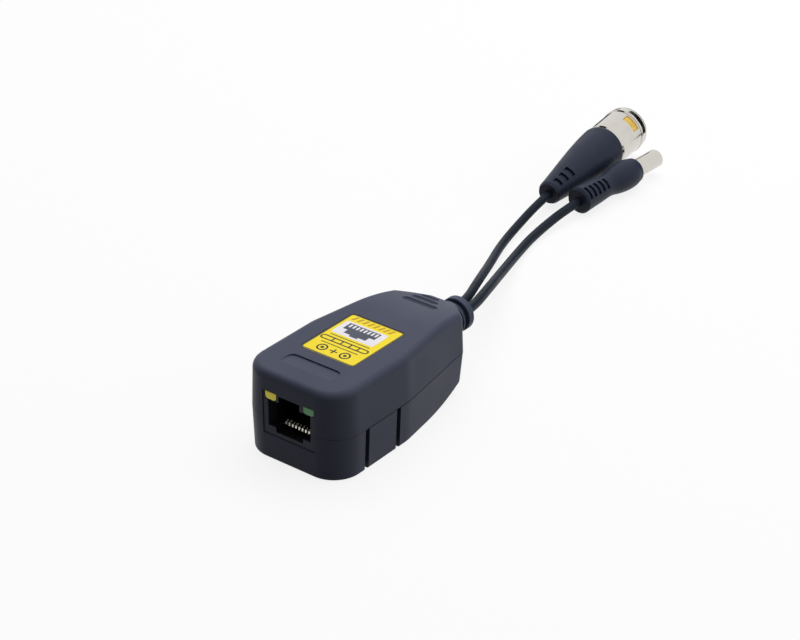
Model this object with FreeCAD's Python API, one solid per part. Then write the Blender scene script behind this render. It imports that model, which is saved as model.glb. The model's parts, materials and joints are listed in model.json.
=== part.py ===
import FreeCAD, Part
import math
import os

from FreeCAD import Placement, Rotation, Vector

# A CCTV video balun: a two-part snap housing with a network jack in front, a circuit board with
# a ferrite balun inside, and two short leads that end in a BNC plug and a DC power plug.
# Millimetres. +X is right as seen from the jack, +Y runs from the jack to the leads, +Z is up.
# The origin is under the middle of the housing and its strain relief, on the table.

os.makedirs("parts", exist_ok=True)

# Housing, measured back from its front face
HOUSING_LENGTH = 61.4
HOUSING_HEIGHT = 23.9
SEAM_HEIGHT = 11.6
SEAM_HALF_WIDTH = 15.7
BOTTOM_HALF_WIDTH = 15.25
TOP_HALF_WIDTH = 15.1
FRONT_CORNER_RADIUS = 7.75
TAPER_START = 26.5
TAPER_BEND_RADIUS = 14.0
TAPER_END = 53.8
TAPER_END_NARROWING = 4.0
REAR_CORNER_RADIUS = 2.2
NOSE_HALF_WIDTH = 4.0
NOSE_CORNER_RADIUS = 2.0
REAR_DRAFT = 1.2
ROOF_SLOPE_START = 40.0
ROOF_FALL = 4.5
FLOOR_SLOPE_START = 36.0
FLOOR_RISE = 7.0
TOP_EDGE_RADIUS = 1.9
BOTTOM_EDGE_RADIUS = 0.7
WALL = 1.8
SEAM_LINE = 0.24
FRONT_SEAM_LINE = 0.08
LIP_HEIGHT = 1.2
SNUG = 0.1
CAVITY_END = 56.8

# Snap tabs in the lower shell, one each side, between two slots
SLOT_WIDTH = 1.5
SLOT_CENTRES = (10.5, 22.5)
SLOT_UNDERCUT = 2.0
CATCH_LENGTH = 7.0
CATCH_THICKNESS = 1.2
CATCH_DEPTH = 4.2
BARB_DEPTH = 0.9
BARB_HEIGHT = 1.6

# Thumb recess and grip bars on the roof
THUMB_CENTRE = 0.0
THUMB_HALF_WIDTH = 7.9
THUMB_REAR = 11.0
THUMB_FRONT = 5.2
THUMB_DEPTH = 0.45
THUMB_CORNER_RADIUS = 1.7
GRIP_ENDS = ((51.5, -5.6, 5.0), (54.9, -5.1, 2.8), (58.0, -4.5, 0.8))
GRIP_RADIUS = 1.4
GRIP_DEPTH = 0.75

# Label in its shallow pocket
LABEL_CENTRE = -0.35
LABEL_HALF_WIDTH = 8.25
LABEL_START = 14.7
LABEL_END = 35.0
LABEL_THICKNESS = 0.22
LABEL_CORNER_RADIUS = 1.2
LABEL_POCKET = 0.3
LABEL_MARGIN = 0.15

# Network jack
JACK_WIDTH = 15.9
JACK_HEIGHT = 11.85
JACK_DEPTH = 21.0
JACK_SETBACK = 0.25
JACK_BASE = 6.98
JACK_OPENING_HALF_WIDTH = 5.9
JACK_OPENING_LOW = 2.7
JACK_OPENING_HIGH = 9.25
JACK_CAVITY_DEPTH = 12.5
JACK_LEAD_IN = 0.7
JACK_LEAD_IN_DEPTH = 2.4
LATCH_HALF_WIDTH = 3.25
LATCH_TOP = 11.4
COMB_HALF_WIDTH = 4.2
COMB_LOW = 1.1
PEG_RADIUS = 1.5
PEG_SPREAD = 5.7
PEG_BACK = 8.9
CONTACT_COUNT = 8
CONTACT_PITCH = 1.02
CONTACT_WIDTH = 0.46
CONTACT_THICKNESS = 0.3
CONTACT_FRONT = 3.0
CONTACT_TAIL = 14.2
LED_WIDTH = 3.0
LED_HEIGHT = 2.1
LED_LENGTH = 7.0
LED_SETBACK = 0.6
LED_SPREAD = 5.95
LED_CORNER_RADIUS = 0.9
LED_EDGE_RADIUS = 0.25

# Circuit board and what stands on it
BOARD_THICKNESS = 1.6
BOARD_MARGIN = 0.7
BOARD_FRONT = 2.4
BOARD_END = 50.0
POST_RADIUS = 2.2
POST_PIN_RADIUS = 0.9
POST_PLACES = ((9.9, 5.6), (8.3, 45.5))
CORE_OUTER_RADIUS = 4.8
CORE_INNER_RADIUS = 2.4
CORE_HEIGHT = 4.2
CORE_PLACE = (-2.2, 29.2)
TURN_COUNT = 9
TURN_WIRE = 0.5
DIODE_RADIUS = 1.45
DIODE_LENGTH = 4.4
DIODE_PLACE = (7.4, 27.0)
CAPACITOR_RADIUS = 2.4
CAPACITOR_THICKNESS = 2.0
CAPACITOR_PLACE = (6.9, 35.2)
RESISTOR_SIZE = (3.2, 1.6, 0.6)
RESISTOR_PLACES = ((-10.2, 27.5), (-10.2, 31.0))
LEG_RADIUS = 0.3

# Leads and the strain relief that they leave by
VIDEO_RADIUS = 1.25
POWER_RADIUS = 1.35
LEAD_SPREAD = 1.5
RELIEF_HEIGHT = 12.9
RELIEF_NECK_RADIUS = 3.5
RELIEF_FLANGE_RADIUS = 4.9
RELIEF_FLANGE = 1.5
RELIEF_RING_RADIUS = 4.7
RELIEF_STEPS = (2.1, 0.8, 1.6, 2.1)
RELIEF_EDGE = 0.3
LEAD_STUB = 1.0
FLOOR_CLEARANCE = 0.02
CORE_WIRE_RADIUS = 0.55
CORE_WIRE_SPREAD = 0.6
CORE_WIRE_RUN = 3.0
CORE_WIRE_DROP = (3.6, 2.6)
CORE_WIRE_RISE = 2.2
PAD_SPREAD = 1.1
PAD_TURN = 2.0
PAD_BACK = 40.5

# BNC plug, measured forward along its own axis from the front of its boot
BNC_TAIL = (-30.8, 119.0)
BNC_YAW = 4.1
BNC_TILT = 4.15
BNC_ROLL = 30.0
BNC_BOOT_RADII = ((0.0, 3.1), (0.9, 3.6), (10.0, 4.8), (22.0, 6.4), (31.7, 7.15), (32.7, 6.9))
BNC_GROOVES = (2.7, 5.7, 8.7)
BNC_GROOVE_WIDTH = 1.7
BNC_GROOVE_SWEEP = 44.0
GROOVE_DEPTH = 0.6
NUT_GAP = 0.3
NUT_LENGTH = 14.95
NUT_REAR_RADIUS = 6.95
NUT_COLLAR_RADIUS = 7.2
NUT_COLLAR_LENGTH = 3.4
NUT_GROOVE = 0.35
NUT_BORE_RADIUS = 4.95
NUT_CHAMBER_RADIUS = 5.7
NUT_CHAMBER_LENGTH = 4.3
NUT_LIP = 2.0
NUT_TRAVEL = 0.8
BAYONET_WIDTH = 2.9
BAYONET_BACK = 5.7
BAYONET_SWEEP = 44.0
BAYONET_START = 108.0
BAYONET_ENTRY = 98.0
BAYONET_TRACK_RADIUS = 5.6
WASHER_THICKNESS = 0.5
WASHER_RADIUS = 5.45
SPRING_THICKNESS = 0.25
SPRING_RADIUS = 4.75
SPRING_WAVES = 3
FLANGE_RADIUS = 4.8
FLANGE_LENGTH = 1.5
NECK_RADIUS = 3.7
NECK_FIT = 0.08
SLEEVE_RADIUS = 4.05
SLEEVE_WALL = 0.5
SLEEVE_SETBACK = 1.3
SLEEVE_SLITS = 4
SLIT_WIDTH = 0.4
SLIT_LENGTH = 4.5
GASKET_HEIGHT = 1.0
GASKET_RADIUS = 4.65
COLLAR_RADIUS = 4.7
COLLAR_LENGTH = 1.5
STEM_RADIUS = 2.0
STEM_LENGTH = 16.4
COAX_CORE_RADIUS = 0.75
FERRULE_WALL = 0.6
DIELECTRIC_RADIUS = 2.4
PIN_RADIUS = 0.675
PIN_SETBACK = 2.0

# DC plug, measured forward along its own axis from the tail of its boot
DC_TAIL = (-22.1, 121.8)
DC_YAW = -4.2
DC_TILT = 1.2
DC_ROLL = 42.0
DC_BOOT_RADII = (
    (0.0, 3.5), (0.7, 4.1), (5.0, 3.85), (9.5, 3.6), (14.0, 3.45),
    (16.8, 3.95), (20.0, 4.4), (24.5, 4.35), (26.9, 3.8),
)
DC_GROOVES = (1.8, 4.0, 6.2, 8.4, 10.6)
DC_GROOVE_WIDTH = 1.2
DC_GROOVE_SWEEP = 62.0
DC_SEAT_LENGTH = 10.9
BARREL_RADIUS = 2.75
BARREL_WALL = 0.35
BARREL_LENGTH = 11.3
BARREL_SEAT_RADIUS = 3.0
TIP_BORE_RADIUS = 1.05
TIP_WALL = 0.3
TIP_SETBACK = 0.4
INSULATOR_SETBACK = 0.7

# Worked out from the sizes above
RELIEF_LENGTH = sum(RELIEF_STEPS)
FRONT = -(HOUSING_LENGTH + RELIEF_LENGTH) / 2
RELIEF_END = -FRONT
RELIEF_START = FRONT + CAVITY_END - RELIEF_FLANGE - SNUG
LEAD_START = RELIEF_START - LEAD_STUB
BNC_BOOT_LENGTH = BNC_BOOT_RADII[-1][0]
DC_BOOT_LENGTH = DC_BOOT_RADII[-1][0]
NUT_END = NUT_GAP + NUT_LENGTH
SPRING_START = NUT_GAP + NUT_LIP + SNUG / 2 + WASHER_THICKNESS
FLANGE_START = SPRING_START + NUT_TRAVEL + SPRING_THICKNESS + SNUG
FLANGE_END = FLANGE_START + FLANGE_LENGTH
SLEEVE_END = NUT_END - SLEEVE_SETBACK
SLEEVE_FLOOR = FLANGE_END + SLEEVE_WALL
BOARD_TOP = JACK_BASE
FAR = 60.0


def back(distance):
    """The Y of a place that is so far behind the housing's front face."""
    return FRONT + distance


def box(x0, x1, y0, y1, z0, z1):
    return Part.makeBox(x1 - x0, y1 - y0, z1 - z0, Vector(x0, y0, z0))


def rounded_outline(corners, z):
    """A closed wire at height z through corners (x, y, radius), each rounded by an arc."""
    stretches = []
    for i, (x, y, radius) in enumerate(corners):
        corner = Vector(x, y, z)
        before = Vector(corners[i - 1][0], corners[i - 1][1], z)
        after = Vector(corners[(i + 1) % len(corners)][0], corners[(i + 1) % len(corners)][1], z)
        to_before = (before - corner).normalize()
        to_after = (after - corner).normalize()
        half = to_before.getAngle(to_after) / 2
        reach = radius / math.tan(half)
        middle = corner + (to_before + to_after).normalize() * (radius / math.sin(half) - radius)
        stretches.append((corner + to_before * reach, middle, corner + to_after * reach))
    edges = []
    for i, (start, middle, end) in enumerate(stretches):
        edges.append(Part.Arc(start, middle, end).toShape())
        edges.append(Part.LineSegment(end, stretches[(i + 1) % len(stretches)][0]).toShape())
    return Part.Wire(edges)


def half_width(z):
    """The housing is widest at its seam, and both shells draft inwards from there."""
    if z < SEAM_HEIGHT:
        share = z / SEAM_HEIGHT
        return BOTTOM_HALF_WIDTH + (SEAM_HALF_WIDTH - BOTTOM_HALF_WIDTH) * share
    share = (z - SEAM_HEIGHT) / (HOUSING_HEIGHT - SEAM_HEIGHT)
    return SEAM_HALF_WIDTH + (TOP_HALF_WIDTH - SEAM_HALF_WIDTH) * share


def rear_lean(z):
    """How far forward the rear is of its place at the seam: it leans in below the seam."""
    return REAR_DRAFT * max(0.0, 1 - z / SEAM_HEIGHT)


def plan_outline(z, inset):
    """The housing's outline from above: round front corners, a tapering rear and a blunt nose."""
    wide = half_width(z)
    narrow = wide - TAPER_END_NARROWING
    lean = rear_lean(z)
    right = [
        (wide, back(0), FRONT_CORNER_RADIUS),
        (wide, back(TAPER_START), TAPER_BEND_RADIUS),
        (narrow, back(TAPER_END - lean), REAR_CORNER_RADIUS),
        (NOSE_HALF_WIDTH, back(HOUSING_LENGTH - lean), NOSE_CORNER_RADIUS),
    ]
    left = [(-x, y, radius) for x, y, radius in reversed(right)]
    wire = rounded_outline(right + left, z)
    return wire.makeOffset2D(-inset) if inset else wire


def form(z0, z1, inset=0.0):
    """The housing's block between two heights, moved inwards by inset."""
    return Part.makeLoft([plan_outline(z0, inset), plan_outline(z1, inset)], True, True)


def slope_radius(start, drop):
    length = HOUSING_LENGTH - start
    return (length ** 2 + drop ** 2) / (2 * drop)


ROOF_RADIUS = slope_radius(ROOF_SLOPE_START, ROOF_FALL)
FLOOR_RADIUS = slope_radius(FLOOR_SLOPE_START, FLOOR_RISE)


def roof(y):
    """The height of the roof: flat over the label, then an arc that falls to the nose."""
    run = max(0.0, y - back(ROOF_SLOPE_START))
    return HOUSING_HEIGHT - ROOF_RADIUS + math.sqrt(ROOF_RADIUS ** 2 - run ** 2)


def underside(y):
    run = max(0.0, y - back(FLOOR_SLOPE_START))
    return FLOOR_RADIUS - math.sqrt(FLOOR_RADIUS ** 2 - run ** 2)


def side_prism(inset=0.0):
    """The housing seen from the side, as a prism across X, with its roof and floor moved inwards."""
    def arc(start, centre_z, radius, sign):
        angles = (0.0, 0.3, 0.6)
        places = [Vector(0, back(start) + radius * math.sin(a), centre_z + sign * radius * math.cos(a))
                  for a in angles]
        return Part.Arc(*places).toShape()

    top = arc(ROOF_SLOPE_START, HOUSING_HEIGHT - ROOF_RADIUS, ROOF_RADIUS - inset, 1)
    bottom = arc(FLOOR_SLOPE_START, FLOOR_RADIUS, FLOOR_RADIUS - inset, -1)
    front_y = back(-5)
    low = Vector(0, front_y, inset)
    high = Vector(0, front_y, HOUSING_HEIGHT - inset)
    edges = [
        Part.LineSegment(low, high).toShape(),
        Part.LineSegment(high, top.Vertexes[0].Point).toShape(),
        top,
        Part.LineSegment(top.Vertexes[1].Point, bottom.Vertexes[1].Point).toShape(),
        bottom,
        Part.LineSegment(bottom.Vertexes[0].Point, low).toShape(),
    ]
    face = Part.Face(Part.Wire(Part.sortEdges(edges)[0]))
    face.translate(Vector(-FAR / 2, 0, 0))
    return face.extrude(Vector(FAR, 0, 0))


def rounded_rim(shape, height, radius):
    """Rounds the edges where the walls meet the roof or the floor."""
    rim = []
    for edge in shape.Edges:
        middle = edge.valueAt((edge.FirstParameter + edge.LastParameter) / 2)
        if abs(middle.z - height(middle.y)) < 0.02 and not is_across(edge):
            rim.append(edge)
    return shape.makeFillet(radius, rim)


def is_across(edge):
    """True for the line across the roof or floor where the slope begins."""
    starts = (back(ROOF_SLOPE_START), back(FLOOR_SLOPE_START))
    return any(all(abs(v.Point.y - y) < 0.01 for v in edge.Vertexes) for y in starts)


def jack_window():
    half = JACK_WIDTH / 2 + SNUG
    return box(-half, half, back(-2), back(WALL + 1), JACK_BASE - SNUG, JACK_BASE + JACK_HEIGHT + SNUG)


def neck_hole():
    radius = RELIEF_NECK_RADIUS + NECK_FIT / 2
    return Part.makeCylinder(radius, FAR, Vector(0, back(CAVITY_END - 5), RELIEF_HEIGHT), Vector(0, 1, 0))


def cavity(z0, z1, inset=WALL):
    room = form(z0, z1, inset).common(side_prism(inset))
    return room.common(box(-FAR, FAR, -FAR, back(CAVITY_END), -FAR, FAR))


def tab_middle():
    return back(sum(SLOT_CENTRES) / 2)


def catch_face():
    """How far out the inner face of a snap tab is, at the height of its barb."""
    return half_width(SEAM_HEIGHT - CATCH_DEPTH / 2) - WALL


def barb(side):
    """The hook on a snap tab's inner face, which holds in the catch's window."""
    x = catch_face()
    top = SEAM_HEIGHT - CATCH_DEPTH / 2 + BARB_HEIGHT / 2
    points = [
        Vector(x + WALL / 2, 0, top),
        Vector(x - BARB_DEPTH, 0, top),
        Vector(x + WALL / 2, 0, top - BARB_HEIGHT),
    ]
    face = Part.Face(Part.makePolygon(points + points[:1]))
    half = CATCH_LENGTH / 2 - 1.0
    face.translate(Vector(0, tab_middle() - half, 0))
    hook = face.extrude(Vector(0, 2 * half, 0))
    return hook if side > 0 else hook.mirror(Vector(), Vector(1, 0, 0))


def catch(side):
    """The leg of the upper shell that hangs behind a snap tab, with a window for the barb."""
    outer = catch_face() - 3 * SNUG
    inner = outer - CATCH_THICKNESS
    half = CATCH_LENGTH / 2
    y = tab_middle()
    leg = box(inner, outer, y - half, y + half, SEAM_HEIGHT - CATCH_DEPTH, SEAM_HEIGHT + 2 * LIP_HEIGHT)
    root = box(inner, half_width(SEAM_HEIGHT) - WALL / 2, y - half, y + half,
               SEAM_HEIGHT + LIP_HEIGHT + 3 * SNUG, SEAM_HEIGHT + 2 * LIP_HEIGHT)
    middle = SEAM_HEIGHT - CATCH_DEPTH / 2
    opening = box(inner - 1, outer + 1, y - half + 0.8, y + half - 0.8,
                  middle - BARB_HEIGHT / 2 - SNUG, middle + BARB_HEIGHT / 2 + SNUG)
    leg = leg.fuse(root).cut(opening)
    return leg if side > 0 else leg.mirror(Vector(), Vector(1, 0, 0))


def lower_shell():
    block = form(-1.0, SEAM_HEIGHT - SEAM_LINE / 2).common(side_prism())
    block = rounded_rim(block, underside, BOTTOM_EDGE_RADIUS)
    front = form(SEAM_HEIGHT - SEAM_LINE / 2, SEAM_HEIGHT + SEAM_LINE / 2 - FRONT_SEAM_LINE)
    block = block.fuse(front.common(box(-FAR, FAR, -FAR, back(SLOT_CENTRES[0]), 0, FAR)))
    lip = form(SEAM_HEIGHT - 1.0, SEAM_HEIGHT + LIP_HEIGHT, WALL / 2 + SNUG).common(side_prism(WALL))
    lip = lip.common(box(-FAR, FAR, -FAR, back(CAVITY_END + WALL) - SNUG, 0, FAR))
    for side in (-1, 1):
        y = tab_middle()
        half = CATCH_LENGTH / 2 + 3 * SNUG
        x = side * catch_face()
        lip = lip.cut(box(x - 2.5, x + 2.5, y - half, y + half, SEAM_HEIGHT - 0.5, FAR))
    shell = block.fuse(lip).cut(cavity(-1.0, SEAM_HEIGHT + LIP_HEIGHT + 1))
    for side in (-1, 1):
        for centre in SLOT_CENTRES:
            inner = BOTTOM_HALF_WIDTH - SLOT_UNDERCUT
            slot = box(inner, SEAM_HALF_WIDTH + 1, back(centre) - SLOT_WIDTH / 2, back(centre) + SLOT_WIDTH / 2,
                       -1, SEAM_HEIGHT)
            shell = shell.cut(slot if side > 0 else slot.mirror(Vector(), Vector(1, 0, 0)))
        shell = shell.fuse(barb(side))
        for x, y in POST_PLACES:
            shell = shell.fuse(post(side * x, back(y)))
    return shell.cut(jack_window()).cut(neck_hole()).removeSplitter()


def post(x, y):
    """A post on the floor that carries the board, with a pin that locates it."""
    foot = underside(y) + WALL / 2
    board_bottom = BOARD_TOP - BOARD_THICKNESS
    stand = Part.makeCylinder(POST_RADIUS, board_bottom - foot, Vector(x, y, foot))
    pin = Part.makeCylinder(POST_PIN_RADIUS, BOARD_TOP + 0.4 - foot, Vector(x, y, foot))
    return stand.fuse(pin)


def thumb_recess():
    left, right = THUMB_CENTRE - THUMB_HALF_WIDTH, THUMB_CENTRE + THUMB_HALF_WIDTH
    corners = [(x, back(y), THUMB_CORNER_RADIUS) for x, y in (
        (left, THUMB_FRONT), (right, THUMB_FRONT), (right, THUMB_REAR), (left, THUMB_REAR))]
    column = Part.Face(rounded_outline(corners, HOUSING_HEIGHT - 2)).extrude(Vector(0, 0, 4))
    ramp = [
        Vector(-FAR / 2, back(THUMB_FRONT + 1), HOUSING_HEIGHT),
        Vector(-FAR / 2, back(THUMB_REAR + 1), HOUSING_HEIGHT - THUMB_DEPTH),
        Vector(-FAR / 2, back(THUMB_REAR + 1), HOUSING_HEIGHT + 1),
        Vector(-FAR / 2, back(THUMB_FRONT + 1), HOUSING_HEIGHT + 1),
    ]
    wedge = Part.Face(Part.makePolygon(ramp + ramp[:1])).extrude(Vector(FAR, 0, 0))
    return column.common(wedge)


def grip_groove(distance, x0, x1):
    """A round-bottomed groove across the sloping roof, with round ends."""
    y = back(distance)
    centre = roof(y) + GRIP_RADIUS - GRIP_DEPTH
    reach = math.sqrt(GRIP_RADIUS ** 2 - (GRIP_RADIUS - GRIP_DEPTH) ** 2)
    groove = Part.makeCylinder(GRIP_RADIUS, x1 - x0 - 2 * reach, Vector(x0 + reach, y, centre), Vector(1, 0, 0))
    for x in (x0 + reach, x1 - reach):
        groove = groove.fuse(Part.makeSphere(GRIP_RADIUS, Vector(x, y, centre)))
    return groove


def label_plate(margin, thickness, bottom):
    left, right = LABEL_CENTRE - LABEL_HALF_WIDTH - margin, LABEL_CENTRE + LABEL_HALF_WIDTH + margin
    near, far = back(LABEL_START) - margin, back(LABEL_END) + margin
    radius = LABEL_CORNER_RADIUS + margin
    corners = [(left, near, radius), (right, near, radius), (right, far, radius), (left, far, radius)]
    return Part.Face(rounded_outline(corners, bottom)).extrude(Vector(0, 0, thickness))


def upper_shell():
    block = form(SEAM_HEIGHT + SEAM_LINE / 2, HOUSING_HEIGHT + 1.0).common(side_prism())
    block = rounded_rim(block, roof, TOP_EDGE_RADIUS)
    shell = block.cut(cavity(SEAM_HEIGHT - 1, HOUSING_HEIGHT + 1.0))
    shell = shell.cut(form(SEAM_HEIGHT - 1, SEAM_HEIGHT + LIP_HEIGHT + SNUG, WALL / 2)
                      .common(box(-FAR, FAR, -FAR, back(CAVITY_END + WALL), -FAR, FAR)))
    for side in (-1, 1):
        shell = shell.fuse(catch(side))
    rib_top = HOUSING_HEIGHT - WALL / 2
    for x in (-5.0, 5.0):
        rib = box(x - 0.6, x + 0.6, back(WALL / 2), back(JACK_DEPTH - 2), JACK_BASE + JACK_HEIGHT, rib_top)
        shell = shell.fuse(rib)
    shell = shell.cut(thumb_recess())
    for distance, x0, x1 in GRIP_ENDS:
        shell = shell.cut(grip_groove(distance, x0, x1))
    pocket = label_plate(LABEL_MARGIN, FAR, HOUSING_HEIGHT - LABEL_POCKET)
    return shell.cut(pocket).cut(jack_window()).cut(neck_hole()).removeSplitter()


def jack_box(x0, x1, y0, y1, v0, v1):
    """A box in the jack's own measures: y behind its face, v above its base."""
    face = back(JACK_SETBACK)
    return box(x0, x1, face + y0, face + y1, JACK_BASE + v0, JACK_BASE + v1)


def lead_in():
    """The mouth of the jack, which widens towards its face."""
    def mouth(y, spread):
        half = JACK_OPENING_HALF_WIDTH + spread
        low = JACK_BASE + JACK_OPENING_LOW - spread / 2
        high = JACK_BASE + JACK_OPENING_HIGH + spread / 2
        y += back(JACK_SETBACK)
        points = [Vector(-half, y, low), Vector(half, y, low), Vector(half, y, high), Vector(-half, y, high)]
        return Part.makePolygon(points + points[:1])

    return Part.makeLoft([mouth(-0.01, JACK_LEAD_IN), mouth(JACK_LEAD_IN_DEPTH, 0.0)], True, True)


def contact_x(i):
    return (i - (CONTACT_COUNT - 1) / 2) * CONTACT_PITCH


def rj45_housing():
    half = JACK_WIDTH / 2
    body = jack_box(-half, half, 0, JACK_DEPTH, 0, JACK_HEIGHT)
    opening = JACK_OPENING_HALF_WIDTH
    body = body.cut(jack_box(-opening, opening, -1, JACK_CAVITY_DEPTH, JACK_OPENING_LOW, JACK_OPENING_HIGH))
    body = body.cut(jack_box(-LATCH_HALF_WIDTH, LATCH_HALF_WIDTH, -1, JACK_CAVITY_DEPTH,
                             JACK_OPENING_HIGH - 1, LATCH_TOP))
    body = body.cut(jack_box(-COMB_HALF_WIDTH, COMB_HALF_WIDTH, -1, JACK_CAVITY_DEPTH,
                             COMB_LOW, JACK_OPENING_LOW + 1))
    body = body.cut(lead_in())
    for side in (-1, 1):
        x = side * LED_SPREAD
        wide = LED_WIDTH / 2 + SNUG / 2
        top = JACK_HEIGHT - 0.15
        body = body.cut(jack_box(x - wide, x + wide, -1, LED_SETBACK + LED_LENGTH + SNUG,
                                 top - LED_HEIGHT - SNUG, top))
        peg = Part.makeCylinder(PEG_RADIUS, BOARD_THICKNESS + 0.2,
                                Vector(side * PEG_SPREAD, back(PEG_BACK), JACK_BASE), Vector(0, 0, -1))
        body = body.fuse(peg)
    room = CONTACT_WIDTH / 2 + SNUG / 2
    for i in range(CONTACT_COUNT):
        x = contact_x(i)
        body = body.cut(jack_box(x - room, x + room, CONTACT_FRONT - 0.5, CONTACT_TAIL + 0.3, 0.5, COMB_LOW + 0.1))
        body = body.cut(jack_box(x - room, x + room, CONTACT_TAIL - 0.3, CONTACT_TAIL + 0.3, -1, 0.6))
    return body.removeSplitter()


def wire_strip(points, thickness, width):
    """A flat wire of even thickness, bent along points (y, z), across X and centred on it."""
    shape = None
    for (y0, z0), (y1, z1) in zip(points, points[1:]):
        piece = Part.makeBox(width, math.hypot(y1 - y0, z1 - z0), thickness,
                             Vector(-width / 2, 0, -thickness / 2))
        slope = math.degrees(math.atan2(z1 - z0, y1 - y0))
        piece.Placement = Placement(Vector(0, y0, z0), Rotation(Vector(1, 0, 0), slope))
        shape = piece if shape is None else shape.fuse(piece)
    for y, z in points[1:-1]:
        shape = shape.fuse(Part.makeCylinder(thickness / 2, width, Vector(-width / 2, y, z), Vector(1, 0, 0)))
    return shape.removeSplitter()


def rj45_contact(i):
    """A spring contact: up through the board, forward under the comb, and back over it."""
    base_run = 0.8
    path = [
        (CONTACT_TAIL, -BOARD_THICKNESS - 0.9),
        (CONTACT_TAIL, base_run),
        (CONTACT_FRONT + 0.2, base_run),
        (CONTACT_FRONT, 1.6),
        (CONTACT_FRONT + 0.2, 2.7),
        (CONTACT_FRONT + 0.9, 3.0),
        (CONTACT_FRONT + 8.0, 5.9),
    ]
    face = back(JACK_SETBACK)
    places = [(face + y, JACK_BASE + v) for y, v in path]
    contact = wire_strip(places, CONTACT_THICKNESS, CONTACT_WIDTH)
    contact.translate(Vector(contact_x(i), 0, 0))
    return contact


def led(side):
    x = side * LED_SPREAD
    top = JACK_HEIGHT - 0.2
    lamp = jack_box(x - LED_WIDTH / 2, x + LED_WIDTH / 2, LED_SETBACK, LED_SETBACK + LED_LENGTH,
                    top - LED_HEIGHT, top)
    low = [edge for edge in lamp.Edges
           if all(abs(v.Point.z - JACK_BASE - top + LED_HEIGHT) < 0.01 for v in edge.Vertexes)
           and abs(edge.Length - LED_LENGTH) < 0.01]
    lamp = lamp.makeFillet(LED_CORNER_RADIUS, low)
    front = [edge for edge in lamp.Edges
             if all(abs(v.Point.y - back(JACK_SETBACK + LED_SETBACK)) < 0.01 for v in edge.Vertexes)]
    return lamp.makeFillet(LED_EDGE_RADIUS, front)


def circuit_board():
    z = BOARD_TOP - BOARD_THICKNESS
    board = Part.Face(plan_outline(z, WALL + BOARD_MARGIN)).extrude(Vector(0, 0, BOARD_THICKNESS))
    board = board.common(box(-FAR, FAR, back(BOARD_FRONT), back(BOARD_END), 0, FAR))
    for side in (-1, 1):
        holes = [(side * x, back(y), POST_PIN_RADIUS + SNUG) for x, y in POST_PLACES]
        holes.append((side * PEG_SPREAD, back(PEG_BACK), PEG_RADIUS + SNUG))
        for x, y, radius in holes:
            board = board.cut(Part.makeCylinder(radius, 5, Vector(x, y, z - 1)))
    room = CONTACT_WIDTH / 2 + SNUG / 2
    for i in range(CONTACT_COUNT):
        x = contact_x(i)
        board = board.cut(jack_box(x - room, x + room, CONTACT_TAIL - 0.3, CONTACT_TAIL + 0.3,
                                   -BOARD_THICKNESS - 1, 0.5))
    return board


def balun_core():
    x, y = CORE_PLACE
    seat = BOARD_TOP + TURN_WIRE
    ring = Part.makeCylinder(CORE_OUTER_RADIUS, CORE_HEIGHT).cut(Part.makeCylinder(CORE_INNER_RADIUS, CORE_HEIGHT))
    ring.translate(Vector(x, back(y), seat))
    return ring


def balun_winding():
    """Turns of the twin wire round the ferrite ring, each a closed flat loop, and two ends on the board."""
    x, y = CORE_PLACE
    gap = SNUG / 2
    inner = CORE_INNER_RADIUS - gap
    outer = CORE_OUTER_RADIUS + gap
    turns = []
    for k in range(TURN_COUNT):
        loop = box(inner - TURN_WIRE, outer + TURN_WIRE, -TURN_WIRE / 2, TURN_WIRE / 2,
                   -TURN_WIRE, CORE_HEIGHT + TURN_WIRE)
        loop = loop.cut(box(inner, outer, -TURN_WIRE, TURN_WIRE, -gap, CORE_HEIGHT + gap))
        loop.rotate(Vector(), Vector(0, 0, 1), 30 + k * 300 / (TURN_COUNT - 1))
        loop.translate(Vector(x, back(y), BOARD_TOP + TURN_WIRE))
        turns.append(loop)
    return Part.makeCompound(turns)


def legs(places, bottom, top):
    return [Part.makeCylinder(LEG_RADIUS, top - bottom, Vector(x, y, bottom)) for x, y in places]


def surge_diode():
    """A small diode that lies across the board on its two bent legs."""
    x, y = DIODE_PLACE
    axis_z = BOARD_TOP + DIODE_RADIUS + 0.1
    body = Part.makeCylinder(DIODE_RADIUS, DIODE_LENGTH,
                             Vector(x, back(y) - DIODE_LENGTH / 2, axis_z), Vector(0, 1, 0))
    reach = DIODE_LENGTH / 2 + 1.2
    lead = Part.makeCylinder(LEG_RADIUS, 2 * reach, Vector(x, back(y) - reach, axis_z), Vector(0, 1, 0))
    shape = body.fuse(lead)
    for end in (-reach, reach):
        for leg in legs([(x, back(y) + end)], BOARD_TOP, axis_z):
            shape = shape.fuse(leg)
    return shape.removeSplitter()


def capacitor():
    """A ceramic disc that stands on two legs."""
    x, y = CAPACITOR_PLACE
    centre_z = BOARD_TOP + CAPACITOR_RADIUS + 0.8
    disc = Part.makeCylinder(CAPACITOR_RADIUS, CAPACITOR_THICKNESS,
                             Vector(x, back(y) - CAPACITOR_THICKNESS / 2, centre_z), Vector(0, 1, 0))
    shape = disc
    for leg in legs([(x - 1.2, back(y)), (x + 1.2, back(y))], BOARD_TOP, centre_z):
        shape = shape.fuse(leg)
    return shape.removeSplitter()


def led_resistors():
    length, width, height = RESISTOR_SIZE
    chips = [box(x - length / 2, x + length / 2, back(y) - width / 2, back(y) + width / 2,
                 BOARD_TOP, BOARD_TOP + height) for x, y in RESISTOR_PLACES]
    return Part.makeCompound(chips)


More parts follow.
